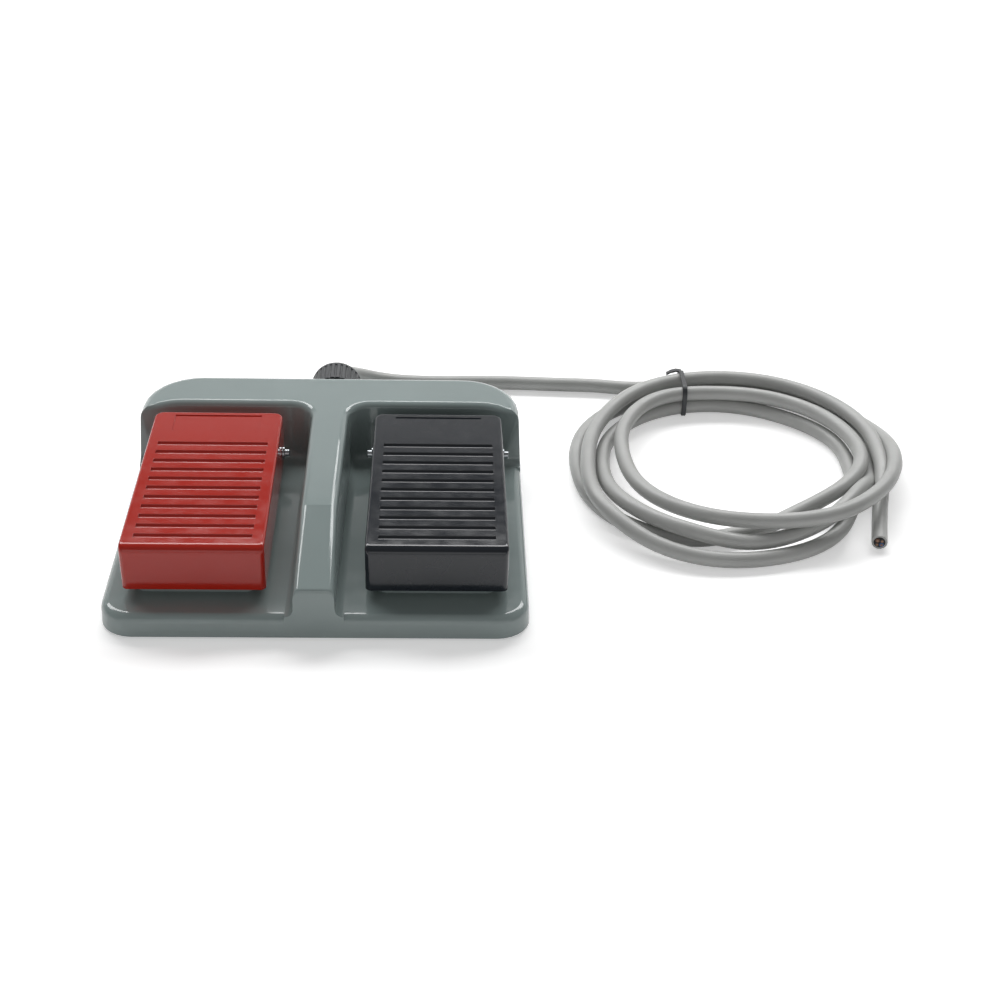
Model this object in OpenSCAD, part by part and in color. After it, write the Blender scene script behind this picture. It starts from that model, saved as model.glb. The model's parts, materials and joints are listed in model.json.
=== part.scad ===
// Dual foot switch: two hinged pedals on a cast base, each working a snap-action switch,
// with a gland and a coiled control cable at the back.
// +X is to the right, +Y to the back and +Z up. The origin is under the middle of the casting,
// on the surface that the feet stand on.

/* [Base casting] */
// Width of the casting across both bays
base_w = 178; // [174:1:200]
// Depth of the casting from front to back
base_d = 160; // [154:1:180]
// Height of the bay floors above the underside
slab_h = 10; // [9:0.5:13]
// Height of the rear bar and centre rib above the underside
ridge_h = 36; // [34:0.5:42]
// Depth of the rear bar at the height of the bay floor
bar_d = 33.5; // [31:0.5:38]
// Width of the centre rib at the height of the bay floor
rib_w = 22; // [18:0.5:26]
// Width of the short wing at each end of the rear bar, at the height of the bay floor
wing_w = 4.8; // [4:0.1:7]
// How far the wings reach forward of the bar, at the height of the bay floor
wing_l = 2; // [1:0.25:4]
// Distance from the front where the rib's top starts to fall
rib_flat_from = 45; // [35:1:60]
// Height of the rib's nose above the underside
rib_nose_h = 22; // [18:0.5:26]
// Plan radius of the front corners
front_corner_r = 14; // [10:0.5:16]
// Plan radius of the rear corners
rear_corner_r = 28; // [24:0.5:30]
// Radius along the slab's top edge
slab_edge_r = 3.5; // [2:0.25:4]
// Radius along the top edges of the bar and rib, round the bays
ridge_edge_r = 2.8; // [1.5:0.1:4]
// Radius along the outer top edge of the bar
outer_edge_r = 5; // [3:0.25:6]
// Radius of the fillet where walls meet the bay floor
foot_r = 3.5; // [2:0.25:5]
// Moulding draft of the walls, in degrees
draft = 3; // [1:0.25:4]
// How much further the bar's front wall leans back, in degrees
bar_lean = 8; // [5:0.5:10]
// Thickness of the casting's skin
skin = 3; // [2.5:0.25:4]
// Width of the rim round the underside
rim_w = 6.5; // [5.5:0.25:9]

/* [Pedals] */
// Width of one pedal
pedal_w = 58; // [52:0.5:62]
// Gap between the pedal's rear and the bar, at the height of the bay floor
pedal_rear_gap = 6.5; // [5:0.5:10]
// How much further out each side of the pedal is at its front
pedal_flare = 0.6; // [0:0.1:1.5]
// Height of the pedal shell
pedal_h = 21; // [20:0.25:23]
// Thickness of the pedal shell
pedal_wall = 2.5; // [2:0.25:3]
// Distance of each pedal's middle from the centre line
pedal_x = 50; // [46:0.5:52]
// Distance from the front of the casting to the pedal's front
pedal_setback = 13; // [10:0.5:16]
// Clearance under the pedal's front when it is pressed right down
pedal_clear = 0.625; // [0.5:0.025:2]
// Forward lean of the resting pedal, in degrees
pedal_lean = 1; // [0.5:0.1:1.2]
// Travel of the pedal, in degrees
pedal_travel = 2.4; // [1.5:0.1:2.4]
// Radius along the pedal's front top edge
pedal_nose_r = 3.5; // [2:0.25:5]
// Radius along the pedal's other top edges
pedal_edge_r = 1.2; // [0.8:0.1:2]
// Number of grip grooves
groove_n = 11; // [5:1:12]
// Width of a groove
groove_w = 3; // [1.5:0.1:3.5]
// Depth of a groove
groove_depth = 1; // [0.6:0.1:1.4]
// Length of a groove
groove_l = 48.5; // [40:0.5:50]

/* [Pivots] */
// Diameter of the pivot pin
pin_d = 3.5; // [3:0.25:5]
// Distance from the pedal's rear to the pivot
pivot_back = 13; // [11:0.5:15]
// Height of the pivot above the pedal's lower rim
pivot_up = 7.3; // [6:0.1:8]
// How far the pin stands out beside the pedal
pin_end = 3.2; // [2.6:0.1:4]
// Thickness of a retaining clip
clip_t = 0.8; // [0.5:0.1:1]

/* [Switches] */
// Distance from the pedal's front to the push rod
rod_from_front = 42; // [38:0.5:46]
// Diameter of the push rod's stem
rod_d = 6; // [5:0.25:7]
// Diameter of the push rod's head
rod_head_d = 10; // [9:0.5:12]
// Length of the switch case
switch_l = 27.8; // [26:0.1:30]
// Thickness of the switch case
switch_t = 10.3; // [9:0.1:11]
// Height of the switch case
switch_h = 15.9; // [15:0.1:16.5]
// Distance from the pedal's front to the return spring
spring_from_front = 18; // [16:0.5:22]
// Outer diameter of the return spring
spring_d = 11; // [9:0.25:12]
// Diameter of the spring wire
spring_wire = 1.2; // [0.8:0.1:1.5]
// Number of turns of the return spring
spring_turns = 6; // [4:1:8]

/* [Gland and cable] */
// Diameter of the cable
cable_d = 7.2; // [6:0.1:8]
// Height of the gland's axis above the underside
gland_h = 20.5; // [19:0.25:21]
// Diameter of the gland's dome nut
gland_nut_d = 24.5; // [23:0.25:26]
// Length of the gland's dome nut
gland_nut_l = 18.5; // [16:0.25:19]
// Diameter of the gland's thread
gland_thread_d = 18.6; // [17:0.1:19]
// Outer radius of the coil of cable
coil_r = 84; // [80:0.5:88]
// Width of the coil's bundle of turns
coil_w = 33; // [28:0.5:36]
// Height of the coil's bundle of turns
coil_h = 15; // [13:0.5:22]

/* [Underside] */
// Thickness of the bottom plate
plate_t = 1.5; // [1:0.1:2]
// Height that the feet stand below the plate
foot_h = 1; // [0.6:0.1:2]
// Diameter of a rubber foot
foot_d = 14; // [10:0.5:18]
// Diameter of the bottom plate's screws
screw_d = 3; // [2.5:0.25:3.5]

/* [Hidden] */
$fn = 48;

// Clearances
fit = 0.02;          // parts that are pressed or screwed together
running = 0.05;      // pins and rods that turn or slide
touch = 0.3;         // moving pieces that meet only when the pedal is worked
over = 1;            // how far a cut runs past the face it opens

// Colours
grey_paint = "#818b89";
red_paint = "#a82c26";
black_paint = "#37383c";
cable_grey = "#9b9c9a";
steel = "#c4c6c8";
rubber = "#2b2b2c";
case_black = "#242426";
terminal_brass = "#c9a94a";
core_brown = "#7a4a2c";
seal_grey = "#4a4c4d";

// Casting, heights above the surface
under_z = foot_h;
floor_z = under_z + slab_h;
ridge_z = under_z + ridge_h;
front_y = -base_d / 2;
back_y = base_d / 2;
bar_y = back_y - bar_d;
wing_x = base_w / 2 - wing_w;
wing_y = bar_y - wing_l;
nose_z = under_z + rib_nose_h;
pocket_rib_r = 9;        // plan radius where bay wall turns into the rib
pocket_wing_r = 10;      // plan radius where bay wall turns into the wing
wing_end_r = 2;          // plan radius at the end of the wing
rib_nose_r = 1.5;        // radius across the rib's nose
past = 20;               // how far the bay's cut runs past the front and the sides
corner_steps = 7;
edge_steps = 5;
lean_in = tan(draft);
bar_lean_back = tan(bar_lean);

// Pedals and pivots
pedal_l = base_d - bar_d - pedal_rear_gap - pedal_setback;
pedal_front = -(pedal_l - pivot_back);
pedal_rise = -pedal_front * sin(pedal_lean + pedal_travel) + pedal_clear;
pivot_y = front_y + pedal_setback - pedal_front;
pivot_z = floor_z + pedal_rise + pivot_up;
pedal_low = -pivot_up;
pedal_top = pedal_h - pivot_up;
pedal_roof = pedal_top - pedal_wall;
pedal_front_r = 2.5;
pedal_rear_r = 4;
pedal_inner_r = 2;
pin_groove = 0.5;        // depth of the groove that a clip snaps into
pin_snap = 0.4;          // how much narrower than the neck the clip's mouth is
pin_boss_wall = 3;
boss_d = pin_d + 2 * pin_boss_wall;
plate_recess_w = 39;     // bare recess near the pedal's rear
plate_recess_l = 13.5;
plate_recess_gap = 3;
plate_recess_depth = 0.4;
groove_front = 8.6;      // from the pedal's front to the middle of the first groove
groove_rear = 10.9;      // from the middle of the last groove to the bare recess
groove_span = pedal_l - plate_recess_gap - plate_recess_l - groove_front - groove_rear;
groove_pitch = groove_span / (groove_n - 1);
groove_r = groove_w * groove_w / groove_depth / 8 + groove_depth / 2;

// Plinths under the pedals
plinth_side_gap = 2;
plinth_front_gap = 2.5;
plinth_head_room = 7.2;
plinth_w = pedal_w - 2 * pedal_wall - 2 * plinth_side_gap;
plinth_front = pivot_y + pedal_front + pedal_wall + plinth_front_gap;
plinth_back = pivot_y + pivot_back - pedal_wall - plinth_front_gap;
plinth_z = pivot_z + pedal_roof - plinth_head_room;
plinth_r = 4;
plinth_roof = skin + 0.4;
block_wall = 2.5;
pivot_block = boss_d + 2 * block_wall;    // solid block round the pin, front to back
cavity_z = plinth_z - plinth_roof;        // inner roof of a plinth

// Switch works
rod_reach = -pedal_front - rod_from_front;
rod_y = pivot_y - rod_reach;
rod_stroke = rod_reach * pedal_travel * PI / 180;
button_d = 3.2;
button_out = rod_stroke + touch;
button_in = 3;
case_gap = 2;                             // between the switch and the plinth's roof
case_top = cavity_z - case_gap;
case_low = case_top - switch_h;
button_off = 4.9;                         // the button is this far ahead of the case's middle
case_y = rod_y + button_off;
hole_dy = 22.2;                           // fixing holes of the switch
hole_dz = 10.3;
hole_low = 2.8;
switch_screw_d = 3;
switch_screw_head = 2;
switch_screw_head_d = 5.5;
web_t = 4;                                // cast web that carries the switch
lug_h = 3.4;
lug_w = 4.8;
lug_t = 0.8;
lug_pitch = 9;
lug_hole_d = 1.6;
panel_l = 12;                             // moulded panel in each face of the case
panel_h = 6;
panel_depth = 0.5;
panel_up = 3;
seal_w = 3;
seal_d = rod_d + 2 * seal_w;
seal_t = 1.6;
striker_d = 11;
striker_t = 1.4;
rod_top_room = pedal_roof - striker_t - 2 * touch - rod_reach * sin(pedal_lean);
rod_top = pivot_z + rod_top_room;
rod_head_t = 1.5;
rod_head_r = 0.8;
spring_reach = -pedal_front - spring_from_front;
spring_y = pivot_y - spring_reach;
spring_lift = 9;
spring_seat = under_z + plate_t + spring_lift;
spring_cup_gap = 0.6;
spring_cup_d = spring_d + 2 * spring_cup_gap;
spring_cup_wall = 2.2;
spring_slack = 0.5;
spring_top = pivot_z + pedal_roof - spring_reach * sin(pedal_lean) - spring_slack;
spring_peg_h = 2;
spring_peg_gap = 0.5;

// Underside
boss_wall = 2.6;
boss_r = screw_d / 2 + boss_wall;
rib_hollow_gap = 6;
rib_hollow_from = boss_r + rib_hollow_gap;
rib_skin = 5;
hollow_r = 3;
plate_inset = 3;
plate_fit = 0.15;
plate_top = under_z + plate_t;
slab_roof = floor_z - skin;
plate_screw_l = 7;
boss_lap = 1.5;                           // how far the bosses run into the rim
boss_in = rim_w + boss_r - boss_lap;
boss_behind = 6;                          // rear bosses, from the pedal's rear
screw_sunk = 0.1;
screw_tip = 0.3;
screw_x = base_w / 2 - boss_in;
screw_spots = [
    for (x = [-1, 1]) each [
        [x * screw_x, front_y + boss_in],
        [x * screw_x, pivot_y + pivot_back + boss_behind]
    ],
    [0, front_y + boss_in],
    [0, 0]
];
foot_margin = 2;
foot_behind = 22;                         // front feet, from the plinth's front
foot_spots = [
    for (x = [-1, 1]) each [
        [x * (base_w / 2 - rim_w - foot_d / 2 - foot_margin), plinth_front + foot_behind],
        [x * (base_w / 2 - rear_corner_r), back_y - rear_corner_r - foot_margin]
    ]
];
foot_lip = 0.05;                          // between a foot and the plate that it is pushed through
foot_taper = 0.8;
foot_bulb_h = 2;
foot_stem_d = 5;
foot_bulb_d = 7;

// Gland
gland_z = under_z + gland_h;
gland_wall = 4.5;
locknut_af = 22;
gland_seat_r = locknut_af / cos(30) / 2 + touch;
gland_seat_y = back_y - (gland_h + gland_seat_r) * lean_in;
gland_flange_l = 4;
gland_thread_in = 12;
gland_thread_out = 9;
gland_spot = 3;          // depth of the cut that faces the bar for the gland
gland_bore_gap = 0.6;
gland_bore_d = cable_d + 2 * gland_bore_gap;
gland_throat_wall = 1.5;
gland_throat_d = gland_thread_d - 2 * gland_throat_wall;
gland_lip = 1.6;         // flat lip round the mouth of the dome nut
gland_room = 0.4;        // between the thread's end and the bottom of the dome nut
gland_mouth_y = gland_seat_y + gland_flange_l + touch + gland_nut_l;
gland_dome_l = 5;
flute_n = 28;
flute_r = 0.7;
locknut_t = 5;
bar_cavity_back = gland_seat_y - gland_wall;

// Cable route, from inside the bar, out of the gland and along the surface to the coil
sheath_in = 8;           // how far the sheath reaches into the bar
sheath_end_y = bar_cavity_back - sheath_in;
lead_start = [[0, sheath_end_y, gland_z], [0, gland_seat_y, gland_z], [0, gland_mouth_y, gland_z]];
lead_route = [
    [0, 107, 21.5], [1.5, 112.5, 20], [5, 118, 16.6], [10.3, 122.8, 12.2], [17.5, 126.8, 8.8],
    [26.5, 129.6, 6.2], [38, 131.4, 4.5], [52, 132.4, 3.8], [68, 132.8, 3.6], [88, 132.6, 3.6],
    [110, 131.6, 3.6], [132, 130.5, 3.6], [150, 129.5, 3.6], [166, 130, 3.6], [180, 131, 3.6]
];
tail_route = [[254, 22, 4.6], [253, 7, 3.6], [251, -3, 3.6], [249, -11, 3.6]];
coil_at = [192, 48];
coil_lift = 1;
coil_edge_r = 5;
tie_angle = 104;         // where the tie sits on the coil, from +X
tie_w = 2.6;
tie_t = 0.9;
tie_gap = 0.15;
cable_sides = 10;

// Cores inside the base, from the end of the sheath to the terminals of the right switch.
// The left switch's are the mirror image.
core_d = 2;
core_lift = 1.2;
core_z = plate_top + core_d / 2 + core_lift;
core_end_x = pedal_x - lug_t / 2 - core_d / 2 - fit;
core_run = [[0.43, 0.32], [0.51, 0.51], [0.66, 0.7]];     // shares of the way across and forward
core_routes = [
    for (i = [0, 1]) let (c = core_d, y = sheath_end_y) concat(
        [
            [0.9 * c, y - fit, gland_z + (0.9 - 1.8 * i) * c],
            [0.9 * c, y - 0.75 * c, gland_z + (0.9 - 1.8 * i) * c],
            [(2 - 0.75 * i) * c, y - 1.5 * c, gland_z - 1.5 * i * c],
            [(4 - 1.75 * i) * c, y - 2 * c, gland_z - (3 + 2 * i) * c],
            [(7 - 1.5 * i) * c, y - (3.25 + 0.5 * i) * c, core_z + 0.15 * c]
        ],
        [for (f = core_run) [f[0] * core_end_x - 2 * i * c, y + f[1] * (case_y - y) - 0.5 * i * c, core_z]],
        [
            [core_end_x - 2.5 * c, case_y + 8 * c - lug_pitch * i, core_z],
            [core_end_x, case_y + 5 * c - lug_pitch * i, core_z]
        ]
    )
];

// Points on an arc about c, from angle a0 to a1
function arc(c, r, a0, a1, n) = [
    for (i = [0:n]) let (a = a0 + (a1 - a0) * i / n) [c.x + r * cos(a), c.y + r * sin(a)]
];

function at_z(points, z) = [for (p = points) [p.x, p.y, z]];

function unit(v) = v / norm(v);

// A rectangle with its own corner radii at the front and the rear, anticlockwise
function round_rect(x0, x1, y0, y1, rf, rr, n) = concat(
    arc([x0 + rf, y0 + rf], rf, 180, 270, n),
    arc([x1 - rf, y0 + rf], rf, 270, 360, n),
    arc([x1 - rr, y1 - rr], rr, 0, 90, n),
    arc([x0 + rr, y1 - rr], rr, 90, 180, n)
);

// Outline of the casting, moved in by d on all sides
function base_outline(d) = round_rect(
    -base_w / 2 + d, base_w / 2 - d, front_y + d, back_y - d,
    front_corner_r - d, rear_corner_r - d, corner_steps
);

// Angle at which the bay's corner arc, of radius r, meets the round end of the wing, dy further back
function wing_angle(r, dy) = asin(dy / (r + wing_end_r));

// Outline of the right bay at height z, moved out by e on the three sides that have a wall.
// The bar's wall leans back, and the wing's wall is the corner arc run into the wing's round end.
function bay_outline(e, z) = let (
    rib = rib_w / 2 - e,
    back = bar_y + max(0, z - floor_z) * bar_lean_back,
    end_y = wing_y + e,
    low_dy = wing_end_r - wing_l + pocket_wing_r,
    arc_x = wing_x - pocket_wing_r * cos(wing_angle(pocket_wing_r, low_dy)),
    arc_y = back - pocket_wing_r,
    r = pocket_wing_r + e,
    a = wing_angle(r, end_y + wing_end_r - arc_y),
    side = base_w / 2 + past
) concat(
    [[rib, front_y - past], [side, front_y - past], [side, end_y]],
    arc([arc_x + (r + wing_end_r) * cos(a), end_y + wing_end_r], wing_end_r, 270, 180 + a, 5),
    arc([arc_x, arc_y], r, a, 90, corner_steps),
    arc([rib_w / 2 + pocket_rib_r, back - pocket_rib_r], pocket_rib_r + e, 90, 180, corner_steps)
);

// A solid skinned over rings of points, each anticlockwise seen from the last ring
module loft(rings) {
    n = len(rings[0]);
    m = len(rings);
    top = (m - 1) * n;
    sides = [
        for (i = [0:m - 2], j = [0:n - 1]) let (k = (j + 1) % n) each [
            [i * n + j, i * n + n + j, i * n + n + k],
            [i * n + j, i * n + n + k, i * n + k]
        ]
    ];
    low_cap = [[for (j = [0:n - 1]) j]];
    top_cap = [[for (j = [0:n - 1]) top + (n - j) % n]];
    polyhedron([for (r = rings) each r], concat(sides, low_cap, top_cap));
}

// A round tube along a route of points
module tube(route, d, sides, up = [0, 0, 1]) {
    last = len(route) - 1;
    loft([
        for (i = [0:last]) let (
            t = unit(route[min(i + 1, last)] - route[max(i - 1, 0)]),
            u = unit(cross(t, up)),
            v = cross(u, t)
        ) [for (j = [0:sides - 1]) route[i] + d / 2 * (cos(360 * j / sides) * v + sin(360 * j / sides) * u)]
    ]);
}

// A block with round upright edges, drawn from its plan corners, front and rear radius
module round_block(x0, x1, y0, y1, rf, rr, h) {
    mid = (y0 + y1) / 2;
    linear_extrude(h) {
        translate([x0 + rf, y0]) square([x1 - x0 - 2 * rf, mid - y0]);
        translate([x0 + rr, mid]) square([x1 - x0 - 2 * rr, y1 - mid]);
        translate([x0, y0 + rf]) square([x1 - x0, y1 - y0 - rf - rr]);
        for (x = [x0 + rf, x1 - rf]) translate([x, y0 + rf]) circle(rf);
        for (x = [x0 + rr, x1 - rr]) translate([x, y1 - rr]) circle(rr);
    }
}

// A block that follows the casting's outline at a distance d inside it
module inset_block(d, h) {
    x = base_w / 2 - d;
    round_block(-x, x, front_y + d, back_y - d, max(2, front_corner_r - d), rear_corner_r - d, h);
}

module along_x(x, y, z) {
    translate([x, y, z]) rotate([0, 90, 0]) children();
}

module along_y(x, y, z) {
    translate([x, y, z]) rotate([-90, 0, 0]) children();
}

// side is -1 for the left pedal and 1 for the right
module at_pedal(side) {
    translate([side * pedal_x, pivot_y, pivot_z]) rotate([pedal_lean, 0, 0]) children();
}

// Outer skin of the casting up to height h, with edge radius r round the top
module casting_block(h, r) {
    rise = h - r;
    loft(concat(
        [at_z(base_outline(0), under_z)],
        [for (i = [0:edge_steps]) let (a = 90 * i / edge_steps)
            at_z(base_outline((rise + r * sin(a)) * lean_in + r * (1 - cos(a))), under_z + rise + r * sin(a))]
    ));
}

// What is cut away to leave the right bay between rib, bar and wing
module bay_cut() {
    wall_h = ridge_h - slab_h - ridge_edge_r;
    low_z = floor_z - slab_edge_r - over;
    rows = concat(
        [for (i = [0:edge_steps]) let (a = 90 * i / edge_steps, z = foot_r * (1 - cos(a)))
            [z, -foot_r * (1 - sin(a)) + z * lean_in]],
        [for (i = [0:edge_steps]) let (a = 90 * i / edge_steps, z = wall_h + ridge_edge_r * sin(a))
            [z, z * lean_in + ridge_edge_r * (1 - cos(a))]]
    );
    top_e = (ridge_h - slab_h) * lean_in + ridge_edge_r;
    loft(concat(
        [at_z(bay_outline(-foot_r, floor_z), low_z)],
        [for (row = rows) at_z(bay_outline(row[1], floor_z + row[0]), floor_z + row[0])],
        [at_z(bay_outline(top_e, ridge_z), ridge_z + over)]
    ));
}

// What is cut off the right half of the rib to make its top fall to a rounded nose
module rib_fall_cut() {
    r = ridge_edge_r;
    fall = (ridge_h - rib_nose_h) / (rib_flat_from - 2 * r);
    face_y = front_y + rib_nose_h * lean_in;
    nose_y = face_y + rib_nose_r;
    nose_top = nose_z + (nose_y - front_y - 2 * r) * fall;
    rows = concat(
        [[front_y + rib_flat_from + 0.5, ridge_z + 0.3], [front_y + rib_flat_from, ridge_z]],
        [for (i = [0:edge_steps]) let (a = 90 - 90 * i / edge_steps)
            [nose_y - rib_nose_r * cos(a), nose_top - rib_nose_r * (1 - sin(a))]],
        [[face_y - past / 2, nose_top - 3 * r]]
    );
    loft([
        for (p = rows) let (
            w = rib_w / 2 - (p[1] - r - floor_z) * lean_in,
            edge = arc([w - r, p[1] - r], r, 90, 0, edge_steps),
            sky = [[rib_w, ridge_z + past], [-over, ridge_z + past], [-over, p[1]]],
            section = concat(sky, edge, [[rib_w, p[1] - r]])
        ) [for (q = section) [q.x, p[0], q.y]]
    ]);
}

module both_sides() {
    children();
    mirror([1, 0, 0]) children();
}

// Outside of the casting: slab, rear bar with wings, and centre rib
module casting_skin() {
    casting_block(slab_h, slab_edge_r);
    difference() {
        casting_block(ridge_h, outer_edge_r);
        both_sides() {
            bay_cut();
            rib_fall_cut();
        }
    }
}

module plinth(side) {
    x = side * pedal_x;
    translate([0, 0, floor_z - skin])
        round_block(
            x - plinth_w / 2, x + plinth_w / 2, plinth_front, plinth_back,
            plinth_r, plinth_r, plinth_z - floor_z + skin
        );
}

// Hollow under one plinth, ahead of the solid pivot block
module plinth_hollow(side) {
    x = side * pedal_x;
    w = plinth_w / 2 - skin;
    translate([0, 0, under_z - over])
        round_block(
            x - w, x + w, plinth_front + skin, plinth_back - pivot_block,
            hollow_r, hollow_r, cavity_z - under_z + over
        );
}

// Web inside a plinth that the switch is screwed to, and the cup for the return spring
module plinth_fittings(side) {
    x = side * pedal_x;
    web_x = x - switch_t / 2 - web_t - fit;
    translate([web_x, case_y - switch_l / 2, case_low])
        cube([web_t, switch_l, cavity_z - case_low + skin / 2]);
    translate([x, spring_y, spring_seat - spring_cup_wall])
        cylinder(
            d = spring_cup_d + 2 * spring_cup_wall,
            h = plinth_z - spring_seat + spring_cup_wall - skin / 2
        );
}

module underside_hollow() {
    rib_in = rib_w / 2 - rib_skin;
    bar_in = bar_y + (ridge_h - slab_h) * (lean_in + bar_lean_back) + skin;
    difference() {
        translate([0, 0, under_z - over]) inset_block(rim_w, slab_roof - under_z + over);
        for (p = screw_spots) translate([p.x, p.y, plate_top]) cylinder(r = boss_r, h = slab_h);
    }
    translate([0, 0, slab_roof - over])
        round_block(
            -base_w / 2 + rear_corner_r, base_w / 2 - rear_corner_r, bar_in, bar_cavity_back,
            hollow_r, hollow_r, ridge_z - skin - slab_roof
        );
    translate([-rib_in, rib_hollow_from, slab_roof - over])
        cube([2 * rib_in, bar_in - rib_hollow_from + over, ridge_z - skin - slab_roof]);
    translate([0, 0, under_z - over]) inset_block(plate_inset - plate_fit, plate_t + over);
}

module screw_holes() {
    for (p = screw_spots) translate([p.x, p.y, plate_top - over])
        cylinder(d = screw_d + 2 * fit, h = plate_screw_l - plate_t + over);
}

// Holes for one pedal's pin, push rod, seal, spring and switch screws
module works_holes(side) {
    x = side * pedal_x;
    along_x(x - plinth_w / 2 - over, pivot_y, pivot_z) cylinder(d = pin_d + 2 * fit, h = plinth_w + 2 * over);
    translate([x, rod_y, cavity_z - over]) cylinder(d = rod_d + 2 * running, h = plinth_roof + 2 * over);
    translate([x, rod_y, plinth_z - seal_t]) cylinder(d = seal_d + 2 * fit, h = seal_t + over);
    translate([x, spring_y, spring_seat]) cylinder(d = spring_cup_d, h = plinth_z - spring_seat + over);
    for (p = switch_holes()) along_x(x - switch_t / 2 - web_t - over, p[0], p[1])
        cylinder(d = switch_screw_d + 2 * fit, h = web_t + 2 * over);
}

// Fixing holes of a switch, as [y, z]
function switch_holes() = [
    for (k = [0, 1]) [case_y + (k - 0.5) * hole_dy, case_low + hole_low + k * hole_dz]
];

module base_casting() color(grey_paint) {
    difference() {
        union() {
            difference() {
                union() {
                    casting_skin();
                    for (side = [-1, 1]) plinth(side);
                }
                underside_hollow();
                for (side = [-1, 1]) plinth_hollow(side);
            }
            for (side = [-1, 1]) plinth_fittings(side);
        }
        for (side = [-1, 1]) works_holes(side);
        screw_holes();
        along_y(0, bar_cavity_back - over, gland_z)
            cylinder(d = gland_thread_d + 2 * fit, h = gland_wall + 2 * over);
        along_y(0, gland_seat_y, gland_z) cylinder(r = gland_seat_r, h = gland_spot);
    }
}

module bottom_plate() color(steel) {
    difference() {
        translate([0, 0, under_z]) inset_block(plate_inset, plate_t);
        for (p = screw_spots) translate([p.x, p.y, under_z - over]) {
            cylinder(d = screw_d + 2 * running, h = plate_t + 2 * over);
            cylinder(d1 = 2 * screw_d + 2 * over, d2 = screw_d, h = screw_d / 2 + over);
        }
        for (p = foot_spots) translate([p.x, p.y, under_z - over])
            cylinder(d = foot_stem_d + 2 * fit, h = plate_t + 2 * over);
    }
}

module bottom_plate_screws() color(steel) {
    for (p = screw_spots) translate([p.x, p.y, under_z])
        rotate_extrude() polygon([
            [0, screw_sunk], [screw_d - 2 * screw_sunk, screw_sunk], [screw_d / 2 - screw_sunk, screw_d / 2],
            [screw_d / 2, plate_t + 2 * screw_sunk], [screw_d / 2, plate_screw_l - 2 * screw_tip],
            [0, plate_screw_l - screw_tip]
        ]);
}

module rubber_feet() color(rubber) {
    for (p = foot_spots) translate([p.x, p.y, 0])
        rotate_extrude() polygon([
            [0, 0], [foot_d / 2 - foot_taper, 0], [foot_d / 2, under_z - foot_lip],
            [foot_stem_d / 2, under_z - foot_lip], [foot_stem_d / 2, plate_top + foot_lip],
            [foot_bulb_d / 2, plate_top + foot_lip], [foot_stem_d / 2 - foot_taper, plate_top + foot_bulb_h],
            [0, plate_top + foot_bulb_h]
        ]);
}

// Outside of a pedal, about its pivot
module pedal_skin() {
    heights = concat(
        [pedal_low],
        [for (i = [0:3]) pedal_top - pedal_nose_r + (pedal_nose_r - pedal_edge_r) * sin(22.5 * i)],
        [for (i = [0:edge_steps]) pedal_top - pedal_edge_r + pedal_edge_r * sin(90 * i / edge_steps)]
    );
    loft([
        for (z = heights) let (
            nose_d = edge_inset(z, pedal_nose_r),
            edge_d = edge_inset(z, pedal_edge_r)
        ) at_z(flared(round_rect(
            -pedal_w / 2 + edge_d, pedal_w / 2 - edge_d, pedal_front + nose_d, pivot_back - edge_d,
            pedal_front_r - edge_d, pedal_rear_r - edge_d, corner_steps
        )), z)
    ]);
}

// Plan of a pedal spread towards its front
function flared(points) = [for (p = points) [p.x + sign(p.x) * pedal_flare * p.y / pedal_front, p.y]];

// How far a rounded top edge of radius r has moved in at height z
function edge_inset(z, r) = let (h = max(0, z - pedal_top + r)) r - sqrt(max(0, r * r - h * h));

module pedal_shell(side, paint) color(paint) at_pedal(side) {
    inner = pedal_w / 2 - pedal_wall;
    difference() {
        union() {
            difference() {
                pedal_skin();
                translate([0, 0, pedal_low - over]) round_block(
                    -inner, inner, pedal_front + pedal_wall, pivot_back - pedal_wall,
                    pedal_inner_r, pedal_inner_r, pedal_roof - pedal_low + over
                );
            }
            for (x = [-1, 1]) along_x(x * (inner - plinth_side_gap / 2 + touch / 2), 0, 0)
                cylinder(d = boss_d, h = plinth_side_gap - touch + fit, center = true);
            translate([0, -spring_reach, pedal_roof - spring_peg_h])
                cylinder(d = spring_d - 2 * spring_wire - 2 * spring_peg_gap, h = spring_peg_h + fit);
        }
        along_x(-pedal_w / 2 - over, 0, 0) cylinder(d = pin_d + 2 * running, h = pedal_w + 2 * over);
        for (i = [0:groove_n - 1]) grip_groove(pedal_front + groove_front + i * groove_pitch);
        translate([
            -plate_recess_w / 2, pivot_back - plate_recess_gap - plate_recess_l, pedal_top - plate_recess_depth
        ]) cube([plate_recess_w, plate_recess_l, plate_recess_depth + over]);
    }
}

module grip_groove(y) {
    along_x(-groove_l / 2, y, pedal_top - groove_depth + groove_r) cylinder(r = groove_r, h = groove_l);
}

module striker(side) color(steel) at_pedal(side) {
    translate([0, -rod_reach, pedal_roof - striker_t]) cylinder(d = striker_d, h = striker_t);
}

module pivot_pin(side) color(steel) {
    half = pedal_w / 2 + pin_end;
    groove = pedal_w / 2 + touch;
    along_x(side * pedal_x, pivot_y, pivot_z) difference() {
        translate([0, 0, -half]) cylinder(d = pin_d, h = 2 * half);
        for (z = [-groove - clip_t - 2 * fit, groove]) translate([0, 0, z]) difference() {
            cylinder(d = pin_d + over, h = clip_t + 2 * fit);
            translate([0, 0, -over]) cylinder(d = pin_d - 2 * pin_groove, h = clip_t + 2 * over);
        }
    }
}

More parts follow.
